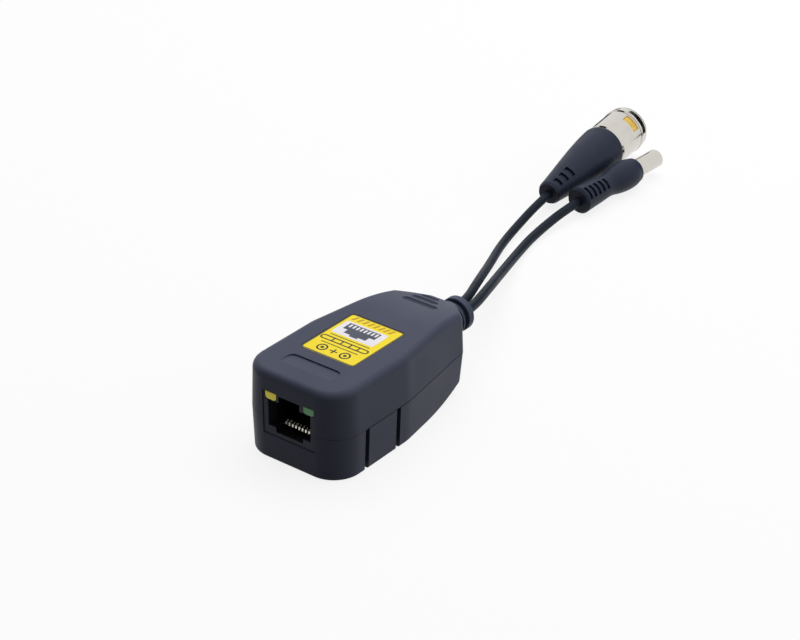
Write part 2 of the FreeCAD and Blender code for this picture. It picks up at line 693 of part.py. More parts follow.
def tube(name, points, radius):
    """A round lead along straight runs joined by arcs as large as the runs allow."""
    edges = []
    radii = []
    start = points[0]
    for before, corner, after in zip(points, points[1:], points[2:]):
        to_before = before - corner
        to_after = after - corner
        run = min(to_before.Length, to_after.Length)
        to_before.normalize()
        to_after.normalize()
        half = to_before.getAngle(to_after) / 2
        reach = 0.45 * run
        bend = reach * math.tan(half)
        radii.append(bend)
        first = corner + to_before * reach
        last = corner + to_after * reach
        middle = corner + (to_before + to_after).normalize() * (bend / math.sin(half) - bend)
        edges.append(Part.LineSegment(start, first).toShape())
        edges.append(Part.Arc(first, middle, last).toShape())
        start = last
    edges.append(Part.LineSegment(start, points[-1]).toShape())
    path = Part.Wire(edges)
    direction = points[1] - points[0]
    profile = Part.Wire(Part.makeCircle(radius, points[0], direction))
    solid = path.makePipeShell([profile], True, False)
    print(name, "length %.1f" % path.Length, "bend radii", [round(r, 1) for r in radii],
          "volume over section times length %.4f" % (solid.Volume / (math.pi * radius ** 2 * path.Length)))
    return solid


def boot_profile(stations):
    """The curved side of a boot, from its second station to its last but one."""
    curve = Part.BSplineCurve()
    curve.interpolate([Vector(radius, 0, s) for s, radius in stations[1:-1]])
    return curve


def resting_height(stations, tilt):
    """The height of a round plug's tail when its boot lies on the table."""
    a = math.radians(tilt)
    side = boot_profile(stations).discretize(60)
    return max(place.x * math.cos(a) - place.z * math.sin(a) for place in side) + FLOOR_CLEARANCE


def plug_placement(tail, height, yaw, tilt, roll):
    """Puts a plug that was made along +Z on the table, with its tail at tail."""
    a, b = math.radians(yaw), math.radians(tilt)
    forward = Vector(-math.sin(a) * math.cos(b), math.cos(a) * math.cos(b), math.sin(b))
    left = Vector(0, 0, 1).cross(forward).normalize()
    up = forward.cross(left)
    turned = Rotation(left, up, forward, "ZXY").multiply(Rotation(Vector(0, 0, 1), roll))
    return Placement(Vector(tail[0], tail[1], height), turned)


def on_plug(place, distance):
    """The point so far along a plug's axis from its tail."""
    return place.multVec(Vector(0, 0, distance))


BNC_LENGTH = BNC_BOOT_LENGTH + NUT_END
BNC_HEIGHT = resting_height(BNC_BOOT_RADII, BNC_TILT)
BNC_PLACE = plug_placement(BNC_TAIL, BNC_HEIGHT, BNC_YAW, BNC_TILT, 0.0)
BNC_BOOT_PLACE = plug_placement(BNC_TAIL, BNC_HEIGHT, BNC_YAW, BNC_TILT, BNC_ROLL)
DC_HEIGHT = resting_height(DC_BOOT_RADII, DC_TILT)
DC_PLACE = plug_placement(DC_TAIL, DC_HEIGHT, DC_YAW, DC_TILT, DC_ROLL)

# The leads' routes, from inside the housing to inside each plug's boot
BNC_LEAD_DEPTH = BNC_BOOT_LENGTH - STEM_LENGTH
DC_LEAD_DEPTH = DC_BOOT_LENGTH - DC_SEAT_LENGTH - 2 * SNUG
LEAD_APPROACH = 3.0
VIDEO_ROUTE = [
    Vector(-LEAD_SPREAD, LEAD_START, RELIEF_HEIGHT),
    Vector(-LEAD_SPREAD, 37.5, RELIEF_HEIGHT),
    Vector(-9.2, 54.8, 10.3),
    Vector(-18.2, 72.4, 4.9),
    Vector(-25.2, 86.8, 1.9),
    Vector(-28.9, 98.2, 1.3),
    on_plug(BNC_PLACE, -LEAD_APPROACH),
    on_plug(BNC_PLACE, BNC_LEAD_DEPTH),
]
POWER_ROUTE = [
    Vector(LEAD_SPREAD, LEAD_START, RELIEF_HEIGHT),
    Vector(LEAD_SPREAD, 36.5, RELIEF_HEIGHT),
    Vector(-4.3, 52.4, 10.4),
    Vector(-12.4, 69.8, 5.2),
    Vector(-19.0, 86.4, 1.9),
    Vector(-22.7, 100.4, 1.4),
    on_plug(DC_PLACE, -LEAD_APPROACH),
    on_plug(DC_PLACE, DC_LEAD_DEPTH),
]
VIDEO_LEAD = tube("video cable", VIDEO_ROUTE, VIDEO_RADIUS)
POWER_LEAD = tube("power cable", POWER_ROUTE, POWER_RADIUS)


def strain_relief():
    """A grommet with a flange inside the nose and two rings outside it, moulded round both leads."""
    inner = RELIEF_START
    groove_a, ring_a, groove_b, ring_b = RELIEF_STEPS
    wall_out = back(HOUSING_LENGTH)
    neck, ring = RELIEF_NECK_RADIUS, RELIEF_RING_RADIUS
    stations = [
        (0, inner), (RELIEF_FLANGE_RADIUS, inner), (RELIEF_FLANGE_RADIUS, inner + RELIEF_FLANGE),
        (neck, inner + RELIEF_FLANGE), (neck, wall_out + groove_a), (ring, wall_out + groove_a),
        (ring, wall_out + groove_a + ring_a), (neck, wall_out + groove_a + ring_a),
        (neck, wall_out + groove_a + ring_a + groove_b), (ring, wall_out + groove_a + ring_a + groove_b),
        (ring, RELIEF_END), (0, RELIEF_END),
    ]
    points = [Vector(r, y, 0) for r, y in stations]
    shape = Part.Face(Part.makePolygon(points + points[:1])).revolve(Vector(), Vector(0, 1, 0), 360)
    rims = [edge for edge in shape.Edges
            if isinstance(edge.Curve, Part.Circle) and abs(edge.Curve.Radius - ring) < 0.01]
    shape = shape.makeFillet(RELIEF_EDGE, rims)
    shape.translate(Vector(0, 0, RELIEF_HEIGHT))
    return shape.cut(VIDEO_LEAD).cut(POWER_LEAD)


def revolved(stations):
    """A turned solid about +Z from stations (radius, z)."""
    points = [Vector(r, 0, z) for r, z in stations]
    return Part.Face(Part.makePolygon(points + points[:1])).revolve(Vector(), Vector(0, 0, 1), 360)


def radius_at(stations, s):
    for (s0, r0), (s1, r1) in zip(stations, stations[1:]):
        if s0 <= s <= s1:
            return r0 + (r1 - r0) * (s - s0) / (s1 - s0)
    return stations[-1][1]


def moulded_boot(stations, grooves, width, sweep):
    """A soft moulded boot about +Z, with short grooves above and below near its tail."""
    places = [Vector(r, 0, s) for s, r in stations]
    end = places[-1].z
    edges = [
        Part.LineSegment(Vector(0, 0, 0), places[0]).toShape(),
        Part.LineSegment(places[0], places[1]).toShape(),
        boot_profile(stations).toShape(),
        Part.LineSegment(places[-2], places[-1]).toShape(),
        Part.LineSegment(places[-1], Vector(0, 0, end)).toShape(),
        Part.LineSegment(Vector(0, 0, end), Vector(0, 0, 0)).toShape(),
    ]
    boot = Part.Face(Part.Wire(edges)).revolve(Vector(), Vector(0, 0, 1), 360)
    for s in grooves:
        inner = radius_at(stations, s) - GROOVE_DEPTH
        for middle in (90, 270):
            base = Vector(0, 0, s - width / 2)
            ring = Part.makeCylinder(inner + 5, width, base, Vector(0, 0, 1), sweep)
            ring = ring.cut(Part.makeCylinder(inner, width, base))
            ring.rotate(Vector(), Vector(0, 0, 1), middle - sweep / 2)
            boot = boot.cut(ring)
    return boot


def on_bnc(shape, place=None):
    """Moves a piece from the plug's own measures, zero at the boot's front, to its place."""
    shape = shape.copy()
    shape.translate(Vector(0, 0, BNC_BOOT_LENGTH))
    shape.Placement = (place or BNC_PLACE).multiply(shape.Placement)
    return shape


def cylinder(radius, z0, z1):
    return Part.makeCylinder(radius, z1 - z0, Vector(0, 0, z0))


def bnc_boot():
    boot = moulded_boot(BNC_BOOT_RADII, BNC_GROOVES, BNC_GROOVE_WIDTH, BNC_GROOVE_SWEEP)
    boot.translate(Vector(0, 0, -BNC_BOOT_LENGTH))
    boot = boot.cut(cylinder(COLLAR_RADIUS, -COLLAR_LENGTH, 1))
    boot = boot.cut(cylinder(STEM_RADIUS + FERRULE_WALL, -STEM_LENGTH, 0))
    return on_bnc(boot, BNC_BOOT_PLACE).cut(VIDEO_LEAD)


def bnc_plug_body():
    """The turned body: stem, collar in the boot, neck, flange and the slit outer-contact sleeve."""
    sleeve_bore = SLEEVE_RADIUS - SLEEVE_WALL
    stem_bore = COAX_CORE_RADIUS + SNUG / 2
    body = revolved([
        (stem_bore, -STEM_LENGTH), (STEM_RADIUS, -STEM_LENGTH), (STEM_RADIUS, -COLLAR_LENGTH),
        (COLLAR_RADIUS, -COLLAR_LENGTH), (COLLAR_RADIUS, 0), (NECK_RADIUS, 0), (NECK_RADIUS, FLANGE_START),
        (FLANGE_RADIUS, FLANGE_START), (FLANGE_RADIUS, FLANGE_END), (SLEEVE_RADIUS, FLANGE_END),
        (SLEEVE_RADIUS, SLEEVE_END - 0.3), (SLEEVE_RADIUS - 0.2, SLEEVE_END), (sleeve_bore, SLEEVE_END),
        (sleeve_bore, SLEEVE_FLOOR), (DIELECTRIC_RADIUS, SLEEVE_FLOOR),
        (DIELECTRIC_RADIUS, -COLLAR_LENGTH), (stem_bore, -COLLAR_LENGTH),
    ])
    for k in range(SLEEVE_SLITS):
        slit = box(SLEEVE_RADIUS - 2, SLEEVE_RADIUS + 1, -SLIT_WIDTH / 2, SLIT_WIDTH / 2,
                   SLEEVE_END - SLIT_LENGTH, SLEEVE_END + 1)
        slit.rotate(Vector(), Vector(0, 0, 1), 45 + k * 360 / SLEEVE_SLITS)
        body = body.cut(slit)
    return on_bnc(body)


def bnc_ferrule():
    sleeve = cylinder(STEM_RADIUS + FERRULE_WALL, -STEM_LENGTH, -COLLAR_LENGTH - SNUG)
    return on_bnc(sleeve.cut(cylinder(STEM_RADIUS, -STEM_LENGTH - 1, 0)))


def bnc_coax_core():
    """The lead's inner insulation, which runs through the stem to the pin."""
    return on_bnc(cylinder(COAX_CORE_RADIUS, -STEM_LENGTH, -COLLAR_LENGTH))


def bnc_dielectric():
    bead = cylinder(DIELECTRIC_RADIUS, -COLLAR_LENGTH, SLEEVE_FLOOR)
    return on_bnc(bead.cut(cylinder(PIN_RADIUS, -COLLAR_LENGTH - 1, SLEEVE_END)))


def bnc_center_pin():
    tip = SLEEVE_END - PIN_SETBACK
    return on_bnc(revolved([(0, -COLLAR_LENGTH), (PIN_RADIUS, -COLLAR_LENGTH), (PIN_RADIUS, tip - 1.0),
                            (0.3, tip), (0, tip)]))


def bnc_gasket():
    ring = cylinder(GASKET_RADIUS, FLANGE_END, FLANGE_END + GASKET_HEIGHT)
    return on_bnc(ring.cut(cylinder(SLEEVE_RADIUS, 0, SLEEVE_END)))


def bnc_thrust_washer():
    washer = cylinder(WASHER_RADIUS, SPRING_START - WASHER_THICKNESS, SPRING_START)
    return on_bnc(washer.cut(cylinder(NECK_RADIUS + NECK_FIT, 0, SLEEVE_END)))


def bnc_wave_washer():
    """A spring ring that rises and falls three times round, between the washer and the flange."""
    middle = (SPRING_START + FLANGE_START - SPRING_THICKNESS) / 2
    rise = middle - SPRING_START - SNUG / 3

    def rim(radius):
        count = 8 * SPRING_WAVES
        points = []
        for k in range(count):
            a = 2 * math.pi * k / count
            z = middle + rise * math.cos(SPRING_WAVES * a)
            points.append(Vector(radius * math.cos(a), radius * math.sin(a), z))
        curve = Part.BSplineCurve()
        curve.interpolate(points, PeriodicFlag=True)
        return curve.toShape()

    band = Part.makeRuledSurface(rim(NECK_RADIUS + NECK_FIT), rim(SPRING_RADIUS))
    return on_bnc(band.Faces[0].extrude(Vector(0, 0, SPRING_THICKNESS)))


def bnc_coupling_nut():
    """The turned nut: bored lip, washer chamber, polished collar, and two bayonet tracks with windows."""
    start, end = NUT_GAP, NUT_END
    collar = end - NUT_COLLAR_LENGTH
    chamber_end = start + NUT_LIP + NUT_CHAMBER_LENGTH
    groove = NUT_GROOVE
    nut = revolved([
        (NECK_RADIUS + NECK_FIT, start), (NUT_REAR_RADIUS - 0.6, start), (NUT_REAR_RADIUS, start + 0.6),
        (NUT_REAR_RADIUS, collar - groove), (NUT_REAR_RADIUS - groove, collar - groove / 2),
        (NUT_REAR_RADIUS - groove, collar), (NUT_COLLAR_RADIUS - 0.3, collar), (NUT_COLLAR_RADIUS, collar + 0.3),
        (NUT_COLLAR_RADIUS, end - 0.5), (NUT_COLLAR_RADIUS - 0.5, end), (NUT_BORE_RADIUS + 0.5, end),
        (NUT_BORE_RADIUS, end - 0.5), (NUT_BORE_RADIUS, chamber_end), (NUT_CHAMBER_RADIUS, chamber_end - 0.6),
        (NUT_CHAMBER_RADIUS, start + NUT_LIP), (NECK_RADIUS + NECK_FIT, start + NUT_LIP),
    ])
    window_end = end - BAYONET_BACK + BAYONET_WIDTH / 2
    window_start = window_end - BAYONET_WIDTH
    for turn in (0, 180):
        track = box(0, BAYONET_TRACK_RADIUS, -BAYONET_WIDTH / 2, BAYONET_WIDTH / 2, window_start, end + 1)
        track.rotate(Vector(), Vector(0, 0, 1), turn + BAYONET_ENTRY)
        window = Part.makeCylinder(NUT_COLLAR_RADIUS + 1, BAYONET_WIDTH, Vector(0, 0, window_start),
                                   Vector(0, 0, 1), BAYONET_SWEEP)
        window.rotate(Vector(), Vector(0, 0, 1), turn + BAYONET_START)
        nut = nut.cut(track).cut(window)
    return on_bnc(nut.removeSplitter())


def dc_boot():
    boot = moulded_boot(DC_BOOT_RADII, DC_GROOVES, DC_GROOVE_WIDTH, DC_GROOVE_SWEEP)
    boot = boot.cut(cylinder(BARREL_SEAT_RADIUS, DC_BOOT_LENGTH - DC_SEAT_LENGTH, DC_BOOT_LENGTH + 1))
    boot.Placement = DC_PLACE
    return boot.cut(POWER_LEAD)


def dc_pieces():
    """The barrel, its insulator and the tip contact, nested in the boot."""
    seat = DC_BOOT_LENGTH - DC_SEAT_LENGTH
    end = DC_BOOT_LENGTH + BARREL_LENGTH
    bore = BARREL_RADIUS - BARREL_WALL
    tip_outer = TIP_BORE_RADIUS + TIP_WALL
    sleeve = revolved([
        (bore, seat), (BARREL_SEAT_RADIUS, seat), (BARREL_SEAT_RADIUS, DC_BOOT_LENGTH),
        (BARREL_RADIUS, DC_BOOT_LENGTH), (BARREL_RADIUS, end - 0.3), (BARREL_RADIUS - 0.2, end), (bore, end),
    ])
    insulator = cylinder(bore, seat, end - INSULATOR_SETBACK).cut(cylinder(tip_outer, seat - 1, end + 1))
    contact = cylinder(tip_outer, seat, end - TIP_SETBACK).cut(cylinder(TIP_BORE_RADIUS, seat + 2, end + 1))
    return {"dc_barrel": sleeve, "dc_insulator": insulator, "dc_tip_contact": contact}


def core_wires(x, turn):
    """Two insulated conductors from a lead's cut end down to their pads on the board."""
    wires = []
    slope_run, slope_end = CORE_WIRE_DROP
    for k in (-1, 1):
        start = Vector(x + CORE_WIRE_SPREAD * k, LEAD_START, RELIEF_HEIGHT)
        pad = Vector(x + turn + PAD_SPREAD * k, back(PAD_BACK), BOARD_TOP)
        path = [start, start - Vector(0, CORE_WIRE_RUN, 0), pad + Vector(0, slope_run, slope_end),
                pad + Vector(0, 0, CORE_WIRE_RISE), pad]
        wires.append(path)
    return wires


def wire_group(name, routes, radius):
    return Part.makeCompound([tube(name, route, radius) for route in routes])


pieces = {
    "upper_shell": upper_shell(),
    "lower_shell": lower_shell(),
    "label": label_plate(0.0, LABEL_THICKNESS, HOUSING_HEIGHT - LABEL_POCKET),
    "rj45_housing": rj45_housing(),
    "led_yellow": led(-1),
    "led_green": led(1),
    "circuit_board": circuit_board(),
    "balun_core": balun_core(),
    "balun_winding": balun_winding(),
    "surge_diode": surge_diode(),
    "capacitor": capacitor(),
    "led_resistors": led_resistors(),
    "strain_relief": strain_relief(),
    "video_core_wires": wire_group("video core", core_wires(-LEAD_SPREAD, -PAD_TURN), CORE_WIRE_RADIUS),
    "power_core_wires": wire_group("power core", core_wires(LEAD_SPREAD, PAD_TURN), CORE_WIRE_RADIUS),
    "video_cable": VIDEO_LEAD,
    "power_cable": POWER_LEAD,
    "bnc_boot": bnc_boot(),
    "bnc_plug_body": bnc_plug_body(),
    "bnc_ferrule": bnc_ferrule(),
    "bnc_coax_core": bnc_coax_core(),
    "bnc_dielectric": bnc_dielectric(),
    "bnc_center_pin": bnc_center_pin(),
    "bnc_gasket": bnc_gasket(),
    "bnc_thrust_washer": bnc_thrust_washer(),
    "bnc_wave_washer": bnc_wave_washer(),
    "bnc_coupling_nut": bnc_coupling_nut(),
    "dc_boot": dc_boot(),
}
for i in range(CONTACT_COUNT):
    pieces["rj45_contact_%d" % (i + 1)] = rj45_contact(i)
for name, shape in dc_pieces().items():
    shape.Placement = DC_PLACE
    pieces[name] = shape

for name, shape in pieces.items():
    shape.exportStep("parts/%s.step" % name)
    size = shape.BoundBox
    print("%-20s solids %d valid %s volume %8.1f  x %.2f..%.2f y %.2f..%.2f z %.2f..%.2f" % (
        name, len(shape.Solids), shape.isValid(), shape.Volume,
        size.XMin, size.XMax, size.YMin, size.YMax, size.ZMin, size.ZMax))
for name, place, length in (("bnc plug", BNC_PLACE, BNC_LENGTH), ("dc plug", DC_PLACE, DC_BOOT_LENGTH + BARREL_LENGTH)):
    axis = place.Rotation.multVec(Vector(0, 0, 1))
    nose = on_plug(place, length)
    print(name, "tail", [round(c, 4) for c in place.Base], "nose", [round(c, 4) for c in nose],
          "axis", [round(c, 6) for c in axis])
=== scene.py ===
import json
import math

import bmesh
import bpy
from mathutils import Matrix, Vector


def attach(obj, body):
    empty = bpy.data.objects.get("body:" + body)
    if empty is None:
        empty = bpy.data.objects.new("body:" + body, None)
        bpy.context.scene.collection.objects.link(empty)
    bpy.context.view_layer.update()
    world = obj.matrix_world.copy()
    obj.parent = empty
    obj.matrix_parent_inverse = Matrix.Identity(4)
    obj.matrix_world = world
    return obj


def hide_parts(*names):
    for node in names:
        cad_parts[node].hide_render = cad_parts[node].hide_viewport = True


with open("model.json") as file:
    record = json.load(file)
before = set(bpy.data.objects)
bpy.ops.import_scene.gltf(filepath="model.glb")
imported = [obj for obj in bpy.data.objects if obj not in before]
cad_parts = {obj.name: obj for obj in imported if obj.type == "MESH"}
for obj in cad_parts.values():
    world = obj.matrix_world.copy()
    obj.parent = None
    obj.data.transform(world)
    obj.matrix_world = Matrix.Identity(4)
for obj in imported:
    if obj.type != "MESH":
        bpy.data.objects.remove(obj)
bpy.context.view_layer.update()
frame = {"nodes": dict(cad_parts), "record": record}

# The camera stands before the jack, to the right and above, as for a catalogue picture
# taken with a long lens.
CAMERA_PLACE = (0.294854, -0.369829, 0.289787)
CAMERA_HEADING = 37.9028
CAMERA_DROP = 29.2022
CAMERA_ROLL = 0.1507


def placed(name, data):
    """Puts a piece, a lamp or a camera into the scene, at the origin."""
    thing = bpy.data.objects.new(name, data)
    bpy.context.collection.objects.link(thing)
    return thing


camera_data = bpy.data.cameras.new("camera")
camera_data.sensor_width = 36.0
camera_data.lens = 99.718
camera_data.clip_start = 0.01
camera = placed("camera", camera_data)
camera.matrix_world = (
    Matrix.Translation(CAMERA_PLACE)
    @ Matrix.Rotation(math.radians(CAMERA_HEADING), 4, "Z")
    @ Matrix.Rotation(math.radians(90 - CAMERA_DROP), 4, "X")
    @ Matrix.Rotation(math.radians(CAMERA_ROLL), 4, "Z")
)
bpy.context.scene.camera = camera
bpy.context.scene.view_settings.view_transform = "Standard"


# The two leads are thin round cables in black PVC, one for video and one for power. Each runs
# through the strain relief, falls to the table and ends inside the boot of its plug. The relief and
# the boots are moulded round the leads and hold them.
VIDEO_DIAMETER = 0.0025
POWER_DIAMETER = 0.0027
LEAD_SIDE = 0.0015
LEAD_HEIGHT = 0.0129
LEAD_START = 0.0240
BNC_LENGTH = 0.04795
DC_BOOT_LENGTH = 0.0269
TAIL_RUN = 0.003
VIDEO_HELD = 0.0163
POWER_HELD = 0.0158


def linear(hex_colour):
    channels = [int(hex_colour[i:i + 2], 16) / 255 for i in (1, 3, 5)]
    return [c / 12.92 if c <= 0.04045 else ((c + 0.055) / 1.055) ** 2.4 for c in channels] + [1.0]


def add_node(tree, kind, inputs, **settings):
    node = tree.nodes.new(kind)
    for name, value in settings.items():
        setattr(node, name, value)
    for name, value in inputs.items():
        if isinstance(value, bpy.types.NodeSocket):
            tree.links.new(value, node.inputs[name])
        else:
            node.inputs[name].default_value = value
    return node


def empty_material(name):
    material = bpy.data.materials.new(name)
    material.use_nodes = True
    material.node_tree.nodes.clear()
    return material, material.node_tree


def clouded(tree, colour, shade, clouds_mm, smoothest, roughest):
    """Soft clouds in a surface: its place, a colour that drifts between two tones, its roughness."""
    place = add_node(tree, "ShaderNodeTexCoord", {}).outputs["Object"]
    clouds = add_node(tree, "ShaderNodeTexNoise",
                      {"Vector": place, "Scale": 1000.0 / clouds_mm, "Detail": 3.0}).outputs["Fac"]
    tint = add_node(tree, "ShaderNodeMix", {"Factor": clouds, "A": linear(colour), "B": linear(shade)},
                    data_type="RGBA")
    sheen = add_node(tree, "ShaderNodeMapRange",
                     {"Value": clouds, "From Min": 0.3, "From Max": 0.7,
                      "To Min": smoothest, "To Max": roughest})
    return place, tint.outputs["Result"], sheen.outputs["Result"]


def moulded(name, colour, shade, roughness, grain_mm, grain_height_mm, clouds_mm=6.0, specular=0.5):
    """A moulded or extruded plastic: a fine grain in its relief, and a slow change of its colour."""
    material, tree = empty_material(name)
    place, tint, sheen = clouded(tree, colour, shade, clouds_mm, roughness - 0.04, roughness + 0.04)
    grain = add_node(tree, "ShaderNodeTexNoise",
                     {"Vector": place, "Scale": 1000.0 / grain_mm, "Detail": 2.0, "Roughness": 0.6})
    relief = add_node(tree, "ShaderNodeBump",
                      {"Height": grain.outputs["Fac"], "Strength": 1.0, "Distance": grain_height_mm / 1000})
    shader = add_node(tree, "ShaderNodeBsdfPrincipled",
                      {"Base Color": tint, "Roughness": sheen, "Normal": relief.outputs["Normal"],
                       "IOR": 1.5, "Specular IOR Level": specular})
    add_node(tree, "ShaderNodeOutputMaterial", {"Surface": shader.outputs["BSDF"]})
    return material


# Extruded PVC: near black, slightly blue, satin, with a faint unevenness along its length.
cable_pvc = moulded("extruded_pvc_cable", "#171f2a", "#131923", 0.5, 0.5, 0.004, specular=0.15)


def mount(name):
    """The place and direction of one of the record's mounts."""
    entry = [m for m in frame["record"]["mounts"] if m["name"] == name][0]
    return Vector(entry["pos_m"]), Vector(entry["axis"]).normalized()


def lead(name, node, route, diameter):
    """A lead's smooth line through the points of its route, with its material and the tube it replaces."""
    curve = bpy.data.curves.new(name, "CURVE")
    curve.dimensions = "3D"
    curve.resolution_u = 24
    curve.bevel_depth = diameter / 2
    curve.bevel_resolution = 8
    curve.use_fill_caps = True
    curve.materials.append(cable_pvc)
    spline = curve.splines.new("NURBS")
    spline.points.add(len(route) - 1)
    for point, place in zip(spline.points, route):
        point.co = (*place, 1.0)
    spline.order_u = 3
    spline.use_endpoint_u = True
    piece = placed(name, curve)
    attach(piece, "housing")
    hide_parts(node)
    return piece


bnc_rim, bnc_axis = mount("bnc_interface")
dc_shoulder, dc_axis = mount("dc_barrel")
bnc_tail = bnc_rim - bnc_axis * BNC_LENGTH
dc_tail = dc_shoulder - dc_axis * DC_BOOT_LENGTH
video_route = [
    (-LEAD_SIDE, LEAD_START, LEAD_HEIGHT),
    (-LEAD_SIDE, 0.0375, LEAD_HEIGHT),
    (-0.0092, 0.0548, 0.0103),
    (-0.0182, 0.0724, 0.0049),
    (-0.0252, 0.0868, 0.0019),
    (-0.0289, 0.0982, 0.0013),
    bnc_tail - bnc_axis * TAIL_RUN,
    bnc_tail + bnc_axis * VIDEO_HELD,
]
power_route = [
    (LEAD_SIDE, LEAD_START, LEAD_HEIGHT),
    (LEAD_SIDE, 0.0365, LEAD_HEIGHT),
    (-0.0043, 0.0524, 0.0104),
    (-0.0124, 0.0698, 0.0052),
    (-0.0190, 0.0864, 0.0019),
    (-0.0227, 0.1004, 0.0014),
    dc_tail - dc_axis * TAIL_RUN,
    dc_tail + dc_axis * POWER_HELD,
]
video_lead = lead("video_lead", "video_cable", video_route, VIDEO_DIAMETER)
power_lead = lead("power_lead", "power_cable", power_route, POWER_DIAMETER)


# The studio: a pale seamless floor, a white surround, a large soft lamp overhead and a weaker one
# behind at the right. Black cards stand before and behind, and one lies behind the plugs: they keep
# the front dark and give the turned metal its dark reflections.
FLOOR_SIZE = 6.0
FLOOR_GLOW = 0.84
SURROUND_LIGHT = 0.2


def seen_directly(tree):
    """1 for rays from the camera, from gloss and through glass, and 0 for the light that spreads."""
    ray = add_node(tree, "ShaderNodeLightPath", {})
    straight = add_node(tree, "ShaderNodeMath",
                        {0: ray.outputs["Is Camera Ray"], 1: ray.outputs["Is Glossy Ray"]},
                        operation="MAXIMUM")
    every = add_node(tree, "ShaderNodeMath",
                     {0: straight.outputs["Value"], 1: ray.outputs["Is Transmission Ray"]},
                     operation="MAXIMUM")
    return every.outputs["Value"]


floor_shape = bmesh.new()
bmesh.ops.create_grid(floor_shape, x_segments=1, y_segments=1, size=FLOOR_SIZE)
floor_mesh = bpy.data.meshes.new("floor")
floor_shape.to_mesh(floor_mesh)
floor_shape.free()
placed("floor", floor_mesh)
# White card: it shows white, and spreads only part of its light back up.
floor_paper, tree = empty_material("white_card")
seen = seen_directly(tree)
paper_tone = add_node(tree, "ShaderNodeMix", {"Factor": seen, "A": linear("#787878"), "B": linear("#f6f6f6")},
                      data_type="RGBA")
paper = add_node(tree, "ShaderNodeBsdfDiffuse", {"Color": paper_tone.outputs["Result"]})
glow = add_node(tree, "ShaderNodeEmission", {"Color": linear("#ffffff"), "Strength": 1.0})
share = add_node(tree, "ShaderNodeMath", {0: seen, 1: FLOOR_GLOW}, operation="MULTIPLY")
shown = add_node(tree, "ShaderNodeMixShader",
                 {"Fac": share.outputs["Value"], 1: paper.outputs["BSDF"], 2: glow.outputs["Emission"]})
add_node(tree, "ShaderNodeOutputMaterial", {"Surface": shown.outputs["Shader"]})
floor_mesh.materials.append(floor_paper)

world = bpy.data.worlds.new("white_surround")
world.use_nodes = True
bpy.context.scene.world = world
tree = world.node_tree
tree.nodes.clear()
level = add_node(tree, "ShaderNodeMapRange",
                 {"Value": seen_directly(tree), "To Min": SURROUND_LIGHT, "To Max": 1.0})
surround = add_node(tree, "ShaderNodeBackground",
                    {"Color": linear("#ffffff"), "Strength": level.outputs["Result"]})
add_node(tree, "ShaderNodeOutputWorld", {"Surface": surround.outputs["Background"]})

# Black flock: it gives nearly nothing back.
black_flock, tree = empty_material("black_flock")
flock = add_node(tree, "ShaderNodeBsdfDiffuse", {"Color": linear("#141416")})
add_node(tree, "ShaderNodeOutputMaterial", {"Surface": flock.outputs["BSDF"]})


def black_card(name, corners, mirrored=True, takes_light=True):
    """A flat card out of the camera's sight: one that shows in gloss, takes light away, or both."""
    shape = bmesh.new()
    shape.faces.new([shape.verts.new(corner) for corner in corners])
    mesh = bpy.data.meshes.new(name)
    shape.to_mesh(mesh)
    shape.free()
    mesh.materials.append(black_flock)
    card = placed(name, mesh)
    card.visible_camera = False
    card.visible_glossy = mirrored
    card.visible_diffuse = takes_light
    card.visible_shadow = takes_light


def upright(y, left, right, low, high):
    return [(left, y, low), (right, y, low), (right, y, high), (left, y, high)]


black_card("card_behind", upright(y=1.3, left=-0.42, right=0.5, low=0, high=0.66))
black_card("card_before", upright(y=-0.9, left=-1.6, right=1.2, low=0, high=2.2), mirrored=False)
black_card("card_before_left", upright(y=-0.88, left=-1.7, right=-0.5, low=0.2, high=2.1), takes_light=False)
black_card("card_past_plugs", [(-0.3, 0.19, 0.0003), (-0.008, 0.19, 0.0003), (0.42, 1.29, 0.0003),
                               (-0.6, 1.29, 0.0003)], takes_light=False)


def soft_lamp(name, place, aim, size, power):
    """A round lamp that lights the object and doesn't show in its gloss."""
    data = bpy.data.lights.new(name, "AREA")
    data.shape = "DISK"
    data.size = size
    data.energy = power
    lamp = placed(name, data)
    lamp.location = place
    lamp.rotation_euler = (Vector(place) - Vector(aim)).to_track_quat("Z", "Y").to_euler()
    lamp.visible_glossy = False


soft_lamp("overhead_lamp", place=(-0.1, 0.35, 0.85), aim=(0.0, 0.03, 0.0), size=1.4, power=10.3)
soft_lamp("right_lamp", place=(0.65, 0.5, 0.4), aim=(0.0, 0.03, 0.01), size=0.5, power=1.5)


# The two housing shells are moulded in dark grey ABS. They snap together with a tab on each side,
# along a seam that runs all round at half height.
def dress(node, material):
    """Gives a solid of the frame its material."""
    for material_slot in frame["nodes"][node].material_slots:
        material_slot.material = material


# Moulded ABS: dark blue grey, dull satin, with the fine grain of a spark-eroded mould. The real
# grain is about 0.1 mm and is drawn coarser, so that it shows.
housing_abs = moulded("moulded_abs_housing", "#474a5b", "#424556", 0.45, 0.35, 0.005, 14.0, specular=0.12)
dress("upper_shell", housing_abs)
dress("lower_shell", housing_abs)


# The label is a die-cut yellow vinyl film, printed, in a shallow pocket of the roof. Its print is a
# jack symbol on a pale panel, a row of marks, a divided bar and two socket signs, without words.
LABEL_TOP = 0.02382
INK_HEIGHT = 0.00001
